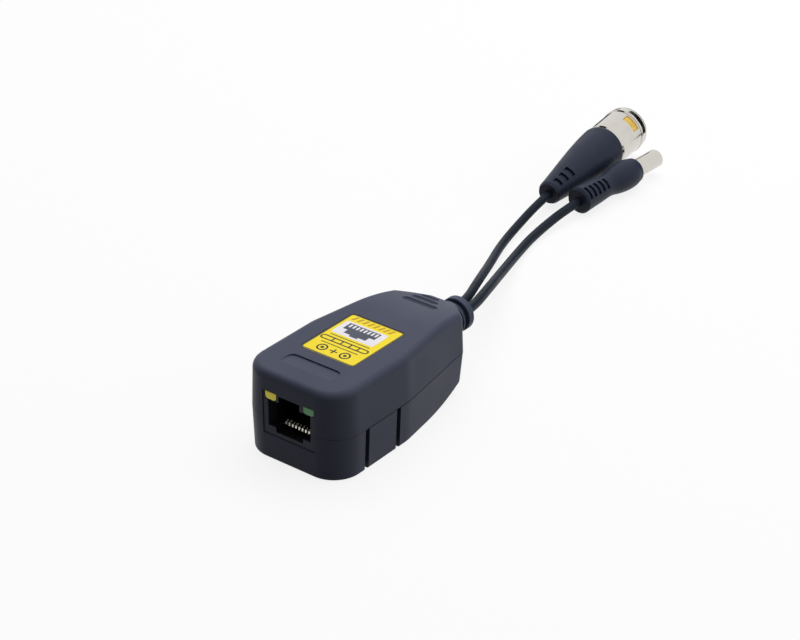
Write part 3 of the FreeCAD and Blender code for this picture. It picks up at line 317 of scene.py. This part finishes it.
# The print's own sizes, and those of the painted shade along the label's edge, are in millimetres. An area is
# its left, right, front and rear edge.
EDGE_AREA = (-8.6, 7.9, -19.25, 1.0)
EDGE_LINE = 0.38
MARK_CENTRES = (-6.45, -4.8, -3.05, -1.4, 0.25, 1.9, 3.4, 4.9)
MARK_FRONT = -1.6
MARK_REAR = 0.25
MARK_WIDTH = 0.8
MARK_SLANT = 0.35
PANEL_AREA = (-7.4, 5.5, -9.1, -2.4)
JACK_SIGN = [
    (-6.0, -3.05), (-6.0, -6.1), (-4.5, -6.1), (-4.5, -7.75), (-2.4, -7.75), (-2.4, -8.4),
    (0.1, -8.4), (0.1, -7.75), (2.25, -7.75), (2.25, -6.1), (3.75, -6.1), (3.75, -3.05),
]
TOOTH_CENTRES = (-5.05, -3.9, -2.75, -1.6, -0.45, 0.7, 1.85, 3.0)
TOOTH_FRONT = -4.9
TOOTH_REAR = -3.4
TOOTH_WIDTH = 0.6
BAR_AREA = (-8.0, 6.6, -13.0, -11.0)
BAR_LINE = 0.42
DIVISIONS = (-4.2, -1.5, 1.1, 3.6)
DIVISION_WIDTH = 0.4
SIGN_CENTRES = (-4.0, 3.0)
SIGN_Y = -16.4
SIGN_RADIUS = 1.5
SIGN_LINE = 0.45
PIN_RADIUS = 0.5
PLUS_X = -0.5
PLUS_ARM = 1.1
PLUS_HALF_WIDTH = 0.2
RULE_AREAS = ((-6.6, 5.4, -10.15, -9.85), (-6.2, 5.0, -14.25, -13.95))


def ink(name, colour, shade):
    """Screen ink: flat and even, a little duller than the film. It also makes the painted shade along the
    label's edge.
    """
    return moulded(name, colour, shade, 0.4, 0.6, 0.001, 5.0, specular=0.3)


def patch(shape, corners, corner_radius=0.0):
    """One printed area: a flat face through corners in millimetres, with its corners rounded."""
    earlier = set(shape.faces)
    points = [shape.verts.new((x / 1000, y / 1000, LABEL_TOP)) for x, y in corners]
    shape.faces.new(points)
    if corner_radius:
        bmesh.ops.bevel(shape, geom=points, offset=corner_radius / 1000, segments=6, profile=0.5,
                        affect="VERTICES", material=-1)
    return [face for face in shape.faces if face not in earlier][0]


def bar(shape, left, right, front, rear, corner_radius=0.0):
    return patch(shape, [(left, front), (right, front), (right, rear), (left, rear)], corner_radius)


def outlined(shape, face, line):
    """Turns an area into a line of that width along its edge."""
    bmesh.ops.inset_region(shape, faces=[face], thickness=line / 1000, use_even_offset=True,
                           use_boundary=True)
    bmesh.ops.delete(shape, geom=[face], context="FACES_ONLY")


def disc(shape, x, y, radius):
    place = Matrix.Translation((x / 1000, y / 1000, LABEL_TOP))
    made = bmesh.ops.create_circle(shape, cap_ends=True, segments=32, radius=radius / 1000, matrix=place)
    return made["verts"][0].link_faces[0]


def plus_corners(x, y, arm, half_width):
    """The corners of a plus sign, round from the end of its left arm."""
    corner = [(-arm, -half_width), (-half_width, -half_width), (-half_width, -arm)]
    corners = []
    for quarter in range(4):
        corners += [(x + dx, y + dy) for dx, dy in corner]
        corner = [(-dy, dx) for dx, dy in corner]
    return corners


def finished(name, shape, material, body):
    """Makes a piece of a shape, with its material, and attaches it to its body."""
    mesh = bpy.data.meshes.new(name)
    shape.to_mesh(mesh)
    shape.free()
    mesh.materials.append(material)
    piece = placed(name, mesh)
    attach(piece, body)
    return piece


def printed(name, shape, material, layer=1):
    """Gives printed areas, and the painted shade along the label's edge, the thickness of the ink, on the
    given layer above the film.
    """
    raised = bmesh.ops.extrude_face_region(shape, geom=shape.faces[:])["geom"]
    tops = [v for v in raised if isinstance(v, bmesh.types.BMVert)]
    bmesh.ops.translate(shape, verts=tops, vec=(0, 0, INK_HEIGHT * layer))
    bmesh.ops.recalc_face_normals(shape, faces=shape.faces[:])
    finished(name, shape, material, "housing")


# Printed vinyl: a full, even yellow under a smooth skin that shines softly.
label_film = moulded("printed_vinyl_label", "#fbe32c", "#f6dc28", 0.34, 0.8, 0.0015, 9.0, specular=0.2)
dress("label", label_film)

# Painted shade: a dark olive line just inside the label's edge, for the shadow in the gap round its pocket.
edge_line = bmesh.new()
outlined(edge_line, bar(edge_line, *EDGE_AREA, corner_radius=1.0), EDGE_LINE)
printed("label_edge_painted_shade", edge_line, ink("painted_edge_shade", "#5f5722", "#57501e"))

marks = bmesh.new()
for x in MARK_CENTRES:
    left, right = x - MARK_WIDTH / 2, x + MARK_WIDTH / 2
    patch(marks, [(left - MARK_SLANT, MARK_FRONT), (right - MARK_SLANT, MARK_FRONT),
                  (right + MARK_SLANT, MARK_REAR), (left + MARK_SLANT, MARK_REAR)])
printed("label_marks", marks, ink("ochre_ink", "#c9a01c", "#be9718"))

panel = bmesh.new()
bar(panel, *PANEL_AREA, corner_radius=0.6)
printed("label_panel", panel, ink("white_ink", "#f0ecf4", "#eae6ef"))

jack_sign = bmesh.new()
patch(jack_sign, JACK_SIGN)
printed("label_jack_sign", jack_sign, ink("slate_ink", "#464b5a", "#414654"), layer=2)
teeth = bmesh.new()
for x in TOOTH_CENTRES:
    bar(teeth, x - TOOTH_WIDTH / 2, x + TOOTH_WIDTH / 2, TOOTH_FRONT, TOOTH_REAR)
printed("label_jack_teeth", teeth, ink("white_tooth_ink", "#eceaf0", "#e6e4ea"), layer=3)

black_ink = ink("black_ink", "#26241a", "#221f16")
divided_bar = bmesh.new()
outlined(divided_bar, bar(divided_bar, *BAR_AREA, corner_radius=0.95), BAR_LINE)
for x in DIVISIONS:
    bar(divided_bar, x - DIVISION_WIDTH / 2, x + DIVISION_WIDTH / 2,
        BAR_AREA[2] + BAR_LINE, BAR_AREA[3] - BAR_LINE)
printed("label_divided_bar", divided_bar, black_ink)

signs = bmesh.new()
for x in SIGN_CENTRES:
    outlined(signs, disc(signs, x, SIGN_Y, SIGN_RADIUS), SIGN_LINE)
    disc(signs, x, SIGN_Y, PIN_RADIUS)
patch(signs, plus_corners(PLUS_X, SIGN_Y, PLUS_ARM, PLUS_HALF_WIDTH))
printed("label_socket_signs", signs, black_ink)

rules = bmesh.new()
for area in RULE_AREAS:
    bar(rules, *area)
printed("label_rules", rules, black_ink)


# The network jack is moulded in black nylon. A yellow and a green lens sit in notches above its
# mouth, and eight sprung contacts of gold-plated bronze lean back from its floor. A lens has a flat
# head with rounded lower corners, just proud of the jack's face, on a stem that reaches back.
JACK_FACE_Y = -0.0335
LENS_BOTTOM = 0.0168
LENS_TOP = 0.01868
LENS_BACK = -0.03315
LENS_SHOULDER = -0.03376
LENS_FRONT = -0.03394
LENS_CORNER = 0.0008
LENS_EDGE = 0.00008
STEM_NEAR = 0.0046
STEM_FAR = 0.0073
CONTACT_BEND_Y = -0.0298
CONTACT_BEND_Z = 0.0091


def shader_of(material):
    return [node for node in material.node_tree.nodes if node.bl_idname == "ShaderNodeBsdfPrincipled"][0]


def paint_shade_past(material, colour, axis, limit, side):
    """Paints shade into a material: another, darker colour past a plane across the object."""
    tree, shader = material.node_tree, shader_of(material)
    near = shader.inputs["Base Color"].links[0].from_socket
    place = add_node(tree, "ShaderNodeTexCoord", {}).outputs["Object"]
    parts = add_node(tree, "ShaderNodeSeparateXYZ", {"Vector": place})
    past = add_node(tree, "ShaderNodeMath", {0: parts.outputs[axis], 1: limit}, operation=side)
    both = add_node(tree, "ShaderNodeMix", {"Factor": past.outputs["Value"], "A": near, "B": linear(colour)},
                    data_type="RGBA")
    tree.links.new(both.outputs["Result"], shader.inputs["Base Color"])


def paint_glow(material, colour, strength):
    """Paints a glow into a material: emission that stands in for light a clear body carries through to its
    face.
    """
    shader = shader_of(material)
    shader.inputs["Emission Color"].default_value = linear(colour)
    shader.inputs["Emission Strength"].default_value = strength


def prism(shape, x0, x1, y0, y1, edge):
    """A block with two round lower corners, between two depths, with its front edge broken."""
    corners = [(x0, LENS_BOTTOM), (x1, LENS_BOTTOM), (x1, LENS_TOP), (x0, LENS_TOP)]
    points = [shape.verts.new((x, y0, z)) for x, z in corners]
    face = shape.faces.new(points)
    earlier = set(shape.faces) - {face}
    bmesh.ops.bevel(shape, geom=points[:2], offset=LENS_CORNER, segments=8, profile=0.5, affect="VERTICES",
                    material=-1)
    back = [f for f in shape.faces if f not in earlier]
    raised = bmesh.ops.extrude_face_region(shape, geom=back, use_keep_orig=True)["geom"]
    front = [v for v in raised if isinstance(v, bmesh.types.BMVert)]
    bmesh.ops.translate(shape, verts=front, vec=(0, y1 - y0, 0))
    rim = [line for line in shape.edges if all(v in front for v in line.verts)]
    bmesh.ops.bevel(shape, geom=rim, offset=edge, segments=3, profile=0.5, affect="EDGES", material=-1)


def lens_head(name, x0, x1, material):
    side = 1 if x0 > 0 else -1
    shape = bmesh.new()
    prism(shape, x0, x1, LENS_SHOULDER, LENS_FRONT, LENS_EDGE)
    prism(shape, side * STEM_NEAR, side * STEM_FAR, LENS_BACK, LENS_SHOULDER, LENS_EDGE)
    bmesh.ops.recalc_face_normals(shape, faces=shape.faces[:])
    finished(name, shape, material, "housing")


def plated(name, colour, shade, roughness, clouds_mm):
    """A plated metal: bright, with a slow change of tone and of gloss."""
    material, tree = empty_material(name)
    _, tint, gloss = clouded(tree, colour, shade, clouds_mm, roughness * 0.85, roughness * 1.15)
    shader = add_node(tree, "ShaderNodeBsdfPrincipled",
                      {"Base Color": tint, "Metallic": 1.0, "Roughness": gloss})
    add_node(tree, "ShaderNodeOutputMaterial", {"Surface": shader.outputs["BSDF"]})
    return material


# Moulded nylon: a grey satin face. Behind the face, inside the jack's mouth, the colour is painted near
# black: painted shade.
jack_nylon = moulded("moulded_nylon_jack", "#3a3e4c", "#363a47", 0.45, 0.4, 0.003, specular=0.15)
paint_shade_past(jack_nylon, "#101014", "Y", JACK_FACE_Y, "GREATER_THAN")
dress("rj45_housing", jack_nylon)
# Diffused epoxy: a waxy gloss and a tint that reads through the whole lens. A painted glow makes each lens a
# little brighter than the light on it, standing in for the light its body gathers from its sides.
yellow_lens = moulded("yellow_epoxy_lens", "#efe03a", "#dccb2e", 0.25, 1.4, 0.004)
green_lens = moulded("green_epoxy_lens", "#5cab68", "#4c9457", 0.25, 1.4, 0.004)
paint_glow(yellow_lens, "#d9c928", 0.28)
paint_glow(green_lens, "#3f8a4c", 0.12)
dress("led_yellow", yellow_lens)
dress("led_green", green_lens)
lens_head("led_yellow_head", -0.0071, -0.0039, yellow_lens)
lens_head("led_green_head", 0.0046, 0.0078, green_lens)
# Gold flash over nickel: pale at the bends. Behind the bends and below them the colour is painted nearly
# black: painted shade, where the jack's walls keep the light out.
contact_gold = plated("gold_flashed_contact", "#f2ede2", "#e6dfce", 0.4, 1.0)
paint_shade_past(contact_gold, "#0a0907", "Y", CONTACT_BEND_Y, "GREATER_THAN")
paint_shade_past(contact_gold, "#0a0907", "Z", CONTACT_BEND_Z, "LESS_THAN")
for i in range(8):
    dress("rj45_contact_%d" % (i + 1), contact_gold)


# Inside the housing a green laminate board stands on four posts. It carries the ferrite balun with
# its enamelled winding, the surge diode, a ceramic capacitor and two chip resistors.

# Solder mask is a green lacquer with a shine, and sintered ferrite is charcoal, dull and rough.
dress("circuit_board", moulded("green_solder_mask", "#1c5a38", "#184f31", 0.3, 0.8, 0.003))
dress("balun_core", moulded("sintered_ferrite", "#3a3a3c", "#303032", 0.6, 0.2, 0.01))
# Enamelled copper is red brown under a clear varnish, and moulded epoxy is black and half dull.
dress("balun_winding", moulded("enamelled_copper_wire", "#9a3b1c", "#b04a25", 0.25, 1.0, 0.002))
dress("surge_diode", moulded("epoxy_diode_body", "#2a2a2c", "#222224", 0.35, 0.5, 0.003))
# Dipped ceramic is ochre and waxy, and the glaze on the chips is black and smooth.
dress("capacitor", moulded("dipped_ceramic_disc", "#c47a2c", "#b86f25", 0.4, 0.6, 0.004))
dress("led_resistors", moulded("thick_film_chip", "#1d1d1f", "#242426", 0.3, 0.5, 0.002))
# Wire insulation: red PVC, satin.
wire_pvc = moulded("wire_insulation_pvc", "#b3342b", "#a52d25", 0.4, 0.5, 0.003)
dress("video_core_wires", wire_pvc)
dress("power_core_wires", wire_pvc)


# The strain relief is a soft black grommet with a thin ring and a thick collar. It is moulded onto
# both leads and held by its flange in the nose of the housing.

# Thermoplastic rubber: dark grey and dull.
relief_tpe = moulded("soft_tpe_grommet", "#454c5f", "#3f4556", 0.5, 0.4, 0.004, specular=0.2)
dress("strain_relief", relief_tpe)


# The BNC plug is turned brass under a tapered PVC boot: a gold-plated body with its slit sleeve,
# and a nickel-plated coupling nut with two bayonet tracks, which a wave washer pushes forward. The
# nut's collar is turned with a shallow hollow behind its rim.

# Lines across the collar, and how far each is drawn in, in metres from the rim.
COLLAR_LINES = ((0.0030, 0.0), (0.0027, 0.00004), (0.0008, 0.00038), (0.0005, 0.00028))
COLLAR_SKIN = 0.0070
ON_LINE = 0.000003
CREASE_DEGREES = 20
# A brass bayonet ring under the nut's skin shows as a gold strip in each of its two windows. Its
# angles run from the plug's left over its top.
WINDOW_DEPTH = 0.0057
WINDOW_WIDTH = 0.0029
WINDOW_ANGLE = 108.2
WINDOW_SWEEP = 43.6
STRIP_RADII = (0.00565, 0.0066)
STRIP_GAP = 0.00002


def shade_smooth(shape):
    """Smooth shading that breaks at creases."""
    shape.normal_update()
    for face in shape.faces:
        face.smooth = True
    for edge in shape.edges:
        edge.smooth = len(edge.link_faces) == 2 and edge.calc_face_angle() < math.radians(CREASE_DEGREES)


# Soft PVC: dark blue grey, satin, with a faint orange peel from the mould.
boot_pvc = moulded("soft_pvc_boot", "#282e3f", "#232938", 0.44, 0.6, 0.006, specular=0.17)
dress("bnc_boot", boot_pvc)
# Bright nickel: warm grey, nearly a mirror, with soft edges to what it reflects.
nickel = plated("nickel_plated_brass", "#d4d1ca", "#ccc8c1", 0.14, 3.0)
for node in ("bnc_coupling_nut", "bnc_ferrule", "bnc_thrust_washer"):
    dress(node, nickel)
# Hard gold: a full yellow, soft in its reflections.
gold_plate = plated("gold_plated_brass", "#f2cd6c", "#e8c05a", 0.35, 2.0)
for node in ("bnc_plug_body", "bnc_center_pin"):
    dress(node, gold_plate)

nut_shape = bmesh.new()
nut_shape.from_mesh(frame["nodes"]["bnc_coupling_nut"].data)
bmesh.ops.remove_doubles(nut_shape, verts=nut_shape.verts[:], dist=0.000002)
for line, _ in COLLAR_LINES:
    everything = nut_shape.verts[:] + nut_shape.edges[:] + nut_shape.faces[:]
    bmesh.ops.bisect_plane(nut_shape, geom=everything, dist=0.000001, plane_no=bnc_axis,
                           plane_co=bnc_rim - bnc_axis * line)
for vert in nut_shape.verts:
    offset = vert.co - bnc_rim
    depth = -offset.dot(bnc_axis)
    spoke = offset + bnc_axis * depth
    for line, drop in COLLAR_LINES:
        if abs(depth - line) < ON_LINE and spoke.length > COLLAR_SKIN:
            vert.co -= spoke.normalized() * drop
shade_smooth(nut_shape)
nut = finished("coupling_nut_turned", nut_shape, nickel, "coupling_nut")
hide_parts("bnc_coupling_nut")
# The copy drops the solid's own normals, so that the hollow shades as a hollow.
nut.data.attributes.remove(nut.data.attributes["custom_normal"])

plug_left = Vector((0, 0, 1)).cross(bnc_axis).normalized()
plug_up = bnc_axis.cross(plug_left)
near = WINDOW_DEPTH - WINDOW_WIDTH / 2 + STRIP_GAP
far = WINDOW_DEPTH + WINDOW_WIDTH / 2 - STRIP_GAP
inner, outer = STRIP_RADII
strips = bmesh.new()
for turn in (0.0, 180.0):
    angle = math.radians(WINDOW_ANGLE + turn)
    spoke = plug_left * math.cos(angle) + plug_up * math.sin(angle)
    face = strips.faces.new([strips.verts.new(bnc_rim - bnc_axis * depth + spoke * radius)
                             for depth, radius in ((near, inner), (near, outer), (far, outer), (far, inner))])
    bmesh.ops.spin(strips, geom=[face] + face.edges[:] + face.verts[:], cent=bnc_rim, axis=bnc_axis,
                   angle=math.radians(WINDOW_SWEEP), steps=14, use_merge=False)
bmesh.ops.remove_doubles(strips, verts=strips.verts[:], dist=0.000001)
bmesh.ops.recalc_face_normals(strips, faces=strips.faces[:])
shade_smooth(strips)
finished("bayonet_ring", strips, gold_plate, "coupling_nut")

# Spring steel: bright grey with a soft blur, from the rolled strip.
dress("bnc_wave_washer", plated("spring_steel", "#b9b9bb", "#adadb0", 0.3, 2.0))
# Silicone rubber: brick red and dull.
dress("bnc_gasket", moulded("silicone_gasket", "#8c2f26", "#7f2a22", 0.5, 0.5, 0.003))
# Turned PTFE: a waxy white.
white_ptfe = moulded("turned_ptfe", "#e4e4de", "#dcdcd6", 0.35, 0.6, 0.002)
dress("bnc_dielectric", white_ptfe)
dress("bnc_coax_core", white_ptfe)


# The DC plug is a 5.5 mm nickel-plated barrel round a black insulator and a sprung tip contact,
# in a PVC boot with a waist and five short grooves for the fingers.
dress("dc_boot", boot_pvc)
for node in ("dc_barrel", "dc_tip_contact"):
    dress(node, nickel)
# Moulded thermoplastic: bare black, with a low sheen.
dress("dc_insulator", moulded("moulded_insulator", "#191a1d", "#151618", 0.35, 0.5, 0.003))
